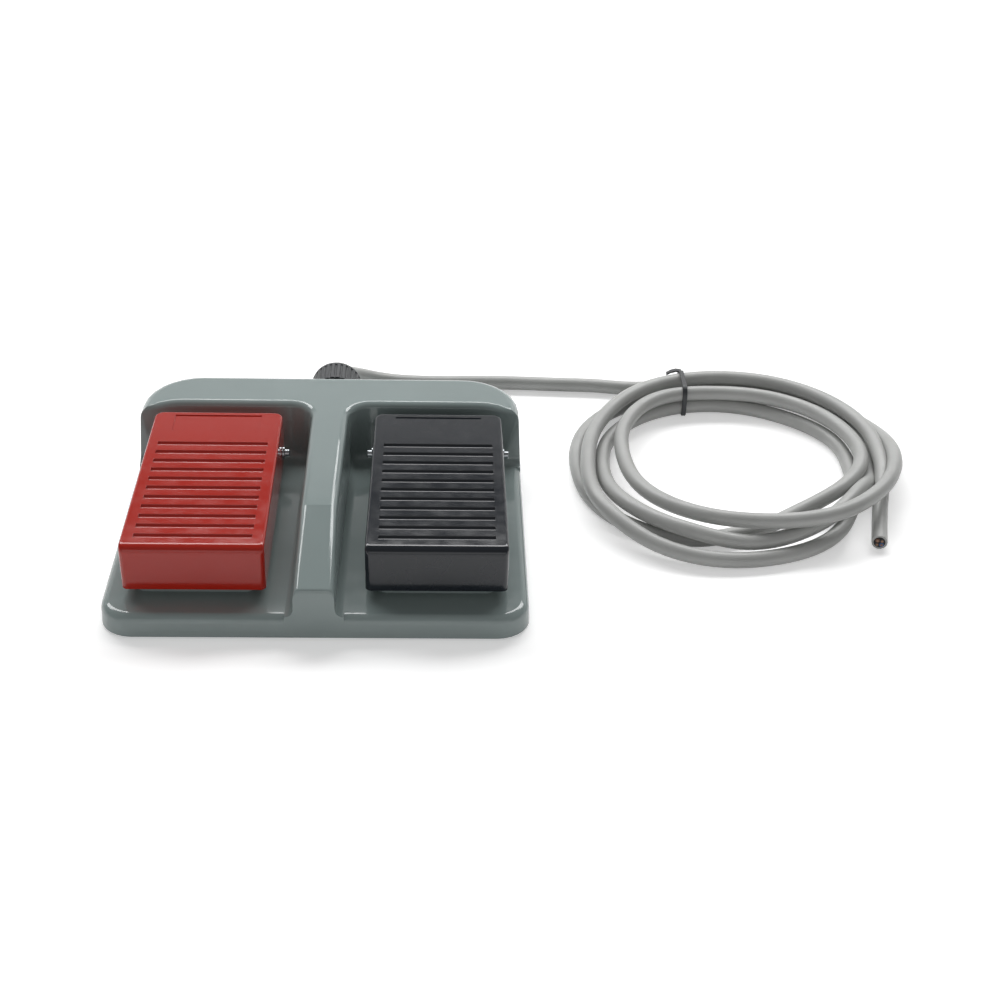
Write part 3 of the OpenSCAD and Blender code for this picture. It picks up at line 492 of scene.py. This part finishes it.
# cast and turned pieces: the CAD solids, merged, with their edges broken (mm) and smoothed (degrees) for the light
dressSettings = {
    "base_casting": {"bevel": 0.0, "smooth": 32, "breaks": [(-35, 37)],  # where the rib's top starts to fall
                     "corner": cornerSettings, "rib": ribSettings},
    "left_pedal_shell": {"bevel": 0.25, "smooth": 32},
    "right_pedal_shell": {"bevel": 0.25, "smooth": 32},
    "gland_nut": {"bevel": 0.12, "smooth": 30},
    "gland_body": {"bevel": 0.2, "smooth": 30},
    "left_pivot_pin": {"bevel": 0.15, "smooth": 30},
    "right_pivot_pin": {"bevel": 0.15, "smooth": 30},
    # the springs each get a mesh of their own, without the even-light normals; the hinge and amount listed with them
    # are not read here
    "left_return_spring": {"bevel": 0.0, "smooth": 50, "pressed": ("left_pedal_hinge", 0.81)},
    "right_return_spring": {"bevel": 0.0, "smooth": 50, "pressed": ("right_pedal_hinge", 0.81)},
}
weldGap = 0.001  # mm
atPlace = 0.1  # mm, how close a point lies to a place that is looked for
flatAngle = 0.3  # degrees


# how far the bay's wall has moved out at a height above the floor: foot, drafted wall and rounded top edge
def wallOut(s, up):
    lean = up * math.tan(math.radians(s["draft"]))
    straight, radius = s["wall"]
    if up <= 0:
        return -s["footRadius"]
    if up < s["footRadius"]:
        return lean - s["footRadius"] + math.sqrt(s["footRadius"] ** 2 - (s["footRadius"] - up) ** 2)
    if up > straight:
        return lean + radius - math.sqrt(max(radius ** 2 - (up - straight) ** 2, 0))
    return lean


# the corner arc and the wing's round end at one height: two centres, two radii and the angle where they meet
def cornerArcs(s, shape, up):
    out = wallOut(s, up)
    back = s["barFace"] + max(up, 0) * math.tan(math.radians(s["barLean"]))
    low = math.asin((s["endRadius"] - shape["reach"] + shape["radius"]) / (shape["radius"] + s["endRadius"]))
    centre = Vector((shape["inner"] - shape["radius"] * math.cos(low), back - shape["radius"]))
    radius = shape["radius"] + out
    reach = shape["reach"] - max(up, 0) * shape["reachLean"]
    endY = s["barFace"] - reach + out + s["endRadius"]
    meet = math.asin((endY - centre.y) / (radius + s["endRadius"]))
    end = Vector((centre.x + (radius + s["endRadius"]) * math.cos(meet), endY))
    return centre, radius, meet, end


# half width of the casting at a height: drafted side, then the rounded top edge
def outerFace(s, up):
    straight, radius = s["side"]
    lean = math.tan(math.radians(s["draft"]))
    if up <= straight:
        return s["half"] - up * lean
    return s["half"] - straight * lean - radius + math.sqrt(max(radius ** 2 - (up - straight) ** 2, 0))


def moveBayCorner(bm, s):
    near, turnNear = s["near"], s["turnNear"]
    quarter = math.pi / 2
    for v in bm.verts:
        x, y, up = abs(v.co.x) / mm, v.co.y / mm, v.co.z / mm - s["floor"]
        outer = outerFace(s, up)
        centre, radius, meet, end = cornerArcs(s, s["solid"], up)
        newCentre, newRadius, newMeet, newEnd = cornerArcs(s, s["shown"], up)
        fromArc, fromEnd = Vector((x, y)) - centre, Vector((x, y)) - end
        turn = math.atan2(fromArc.y, fromArc.x)
        endTurn = math.atan2(-fromEnd.y, -fromEnd.x)
        onArc = abs(fromArc.length - radius) < s["arcNear"] and meet - turnNear < turn < quarter + turnNear
        onEnd = abs(fromEnd.length - s["endRadius"]) < near and meet - turnNear < endTurn < quarter + turnNear
        onFront = x > end.x and abs(y - end.y + s["endRadius"]) < near
        if not (onArc or onEnd or onFront):
            continue
        if x > outer - s["sideSlack"]:
            # on the outer side: it slides forward to where the wider wing ends
            if x > newEnd.x:
                y = newEnd.y - s["endRadius"]
            elif x > newCentre.x + newRadius * math.cos(newMeet):
                y = newEnd.y - math.sqrt(s["endRadius"] ** 2 - (x - newEnd.x) ** 2)
            else:
                y = newCentre.y + math.sqrt(newRadius ** 2 - (x - newCentre.x) ** 2)
        elif onArc:
            first = max(meet, math.acos(min(1, (outer - centre.x) / radius)))
            newFirst = max(newMeet, math.acos(min(1, (outer - newCentre.x) / newRadius)))
            turned = quarter - (quarter - turn) * (quarter - newFirst) / (quarter - first)
            x, y = newCentre + Vector((math.cos(turned), math.sin(turned))) * newRadius
        elif onEnd:
            turned = quarter - (quarter - endTurn) * (quarter - newMeet) / (quarter - meet)
            x, y = newEnd - Vector((math.cos(turned), math.sin(turned))) * s["endRadius"]
        else:
            y = newEnd.y - s["endRadius"]
        v.co.x = math.copysign(x * mm, v.co.x)
        v.co.y = y * mm


def slimRib(bm, s):
    front, back = s["ends"]
    toeY, toeX, toeZ = s["toe"]
    noseY, noseZ, noseLift = s["nose"]
    for v in bm.verts:
        x, y, z = abs(v.co.x) / mm, v.co.y / mm, v.co.z / mm
        if x < s["across"][1] and y < noseY and z > noseZ:
            v.co.z += noseLift * mm
        onSide = s["across"][0] < x < s["across"][1] and z > s["above"] and y < back
        onToe = y < toeY and abs(x - toeX) < atPlace and z > toeZ
        if onSide or onToe:
            part = (y - front) / (back - front)
            inward = s["slimmer"][0] * (1 - part) + s["slimmer"][1] * part
            v.co.x = math.copysign((x - inward) * mm, v.co.x)


def dressedCopy(nodeName, s):
    node = frame["nodes"][nodeName]
    slotName = node.data.materials[0].name
    bm = bmesh.new()
    bm.from_mesh(node.data)
    bmesh.ops.remove_doubles(bm, verts=bm.verts, dist=weldGap * mm)
    bmesh.ops.dissolve_limit(bm, angle_limit=math.radians(flatAngle), verts=bm.verts, edges=bm.edges,
                             delimit={"NORMAL"})
    if "corner" in s:
        moveBayCorner(bm, s["corner"])
        slimRib(bm, s["rib"])
    for face in bm.faces:
        face.smooth = True
    for edge in bm.edges:
        edge.smooth = len(edge.link_faces) == 2 and edge.calc_face_angle() < math.radians(s["smooth"])
        for y, z in s.get("breaks", []):
            if all(abs(v.co.y / mm - y) < atPlace and abs(v.co.z / mm - z) < atPlace for v in edge.verts):
                edge.smooth = False
    mesh = bpy.data.meshes.new(nodeName + "Dressed")
    bm.to_mesh(mesh)
    bm.free()
    if "custom_normal" in mesh.attributes:
        mesh.attributes.remove(mesh.attributes["custom_normal"])
    mesh.materials.clear()
    mesh.materials.append(slotFinish[slotName])
    piece = addPiece(nodeName + "Dressed", mesh, body_of(node)[0], slotName, nodeName)
    if s["bevel"]:
        edge = piece.modifiers.new("brokenEdge", "BEVEL")
        edge.width = s["bevel"] * mm
        edge.segments = bevelSteps
        edge.limit_method = "ANGLE"
        edge.angle_limit = math.radians(s["smooth"])
    if "pressed" in s:
        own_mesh(piece)
    else:
        normals = piece.modifiers.new("evenLight", "WEIGHTED_NORMAL")
        normals.keep_sharp = True


for nodeName, settings in dressSettings.items():
    dressedCopy(nodeName, settings)
print("pieces dressed", len(dressSettings))

# what stays as the solid from the source gets its finish by its slot
kept = 0
for nodeName, node in frame["nodes"].items():
    slotName = node.data.materials[0].name
    if slotName in slotFinish:
        node.data.materials[0] = slotFinish[slotName]
        kept += 1
print("solids finished", kept)

# pale paper sweep and soft studio light: one broad lamp above and behind, a weak low one in front, and the paper
studioSettings = {
    "floorSize": 30,  # m
    "floorDrop": 0.2,  # mm below the feet
    "wallBack": 1.8,  # m, where the paper turns up behind the object
    "wallHeight": 1.22,
    "paperColour": "#f0f0f0",
    "paperGlow": 0.4,  # seen by the camera, so that the lit paper comes out white and its shadow stays
    "room": 0.22,
    "key": {"place": (-0.05, 1.15, 1.38), "aim": (0.05, 0.0, 0.0), "size": (3.0, 0.6), "watts": 42},
    "fill": {"place": (0.05, -1.3, 0.35), "aim": (0.05, 0.0, 0.02), "size": (2.4, 0.5), "watts": 3.5},
}


def whiteRays(tree):
    rays = addNode(tree, "ShaderNodeLightPath").outputs
    mirrored = addNode(tree, "ShaderNodeMath", {"operation": "MAXIMUM"},
                       {0: rays["Is Glossy Ray"], 1: rays["Is Transmission Ray"]})
    seen = addNode(tree, "ShaderNodeMath", {"operation": "MAXIMUM"},
                   {0: rays["Is Camera Ray"], 1: mirrored.outputs[0]})
    return seen.outputs[0]


def makeSweep(s):
    half = s["floorSize"] / 2
    bm = bmesh.new()
    bmesh.ops.create_grid(bm, x_segments=1, y_segments=1, size=half)
    bmesh.ops.translate(bm, verts=bm.verts, vec=(0, s["wallBack"] - half, -s["floorDrop"] * mm))
    rear = [e for e in bm.edges if all(v.co.y > s["wallBack"] - half for v in e.verts)]
    raised = bmesh.ops.extrude_edge_only(bm, edges=rear)["geom"]
    bmesh.ops.translate(bm, verts=[v for v in raised if isinstance(v, bmesh.types.BMVert)], vec=(0, 0, s["wallHeight"]))
    mesh = bpy.data.meshes.new("sweep")
    bm.to_mesh(mesh)
    bm.free()
    # matt paper: white, with only the shadow that lies on it
    material = bpy.data.materials.new("whitePaper")
    material.use_nodes = True
    tree = material.node_tree
    tree.nodes.clear()
    paper = addNode(tree, "ShaderNodeBsdfDiffuse", {"Color": linear(s["paperColour"])})
    strength = addNode(tree, "ShaderNodeMath", {"operation": "MULTIPLY", 1: s["paperGlow"]}, {0: whiteRays(tree)})
    glow = addNode(tree, "ShaderNodeEmission", {"Color": (1, 1, 1, 1)}, {"Strength": strength.outputs[0]})
    both = addNode(tree, "ShaderNodeAddShader", links={0: paper.outputs[0], 1: glow.outputs[0]})
    addNode(tree, "ShaderNodeOutputMaterial", links={"Surface": both.outputs[0]})
    mesh.materials.append(material)
    sweep = bpy.data.objects.new("sweep", mesh)
    bpy.context.collection.objects.link(sweep)


def makeWorld(s):
    world = bpy.data.worlds.new("studio")
    world.use_nodes = True
    tree = world.node_tree
    tree.nodes.clear()
    rays = addNode(tree, "ShaderNodeLightPath").outputs
    # white to the camera, and only the room's weak light on the object
    level = addNode(tree, "ShaderNodeMapRange", {"To Min": s["room"], "To Max": 1}, {"Value": rays["Is Camera Ray"]})
    plain = addNode(tree, "ShaderNodeBackground", {"Color": (1, 1, 1, 1)}, {"Strength": level.outputs["Result"]})
    addNode(tree, "ShaderNodeOutputWorld", links={"Surface": plain.outputs[0]})
    bpy.context.scene.world = world


def makeLamp(name, s):
    data = bpy.data.lights.new(name, "AREA")
    data.shape = "RECTANGLE"
    data.size, data.size_y = s["size"]
    data.energy = s["watts"]
    lamp = bpy.data.objects.new(name, data)
    bpy.context.collection.objects.link(lamp)
    lamp.location = s["place"]
    lamp.rotation_euler = (Vector(s["aim"]) - Vector(s["place"])).to_track_quat("-Z", "Y").to_euler()


makeSweep(studioSettings)
makeWorld(studioSettings)
makeLamp("key", studioSettings["key"])
makeLamp("fill", studioSettings["fill"])
bpy.context.scene.view_settings.view_transform = "Standard"
print("studio lit")
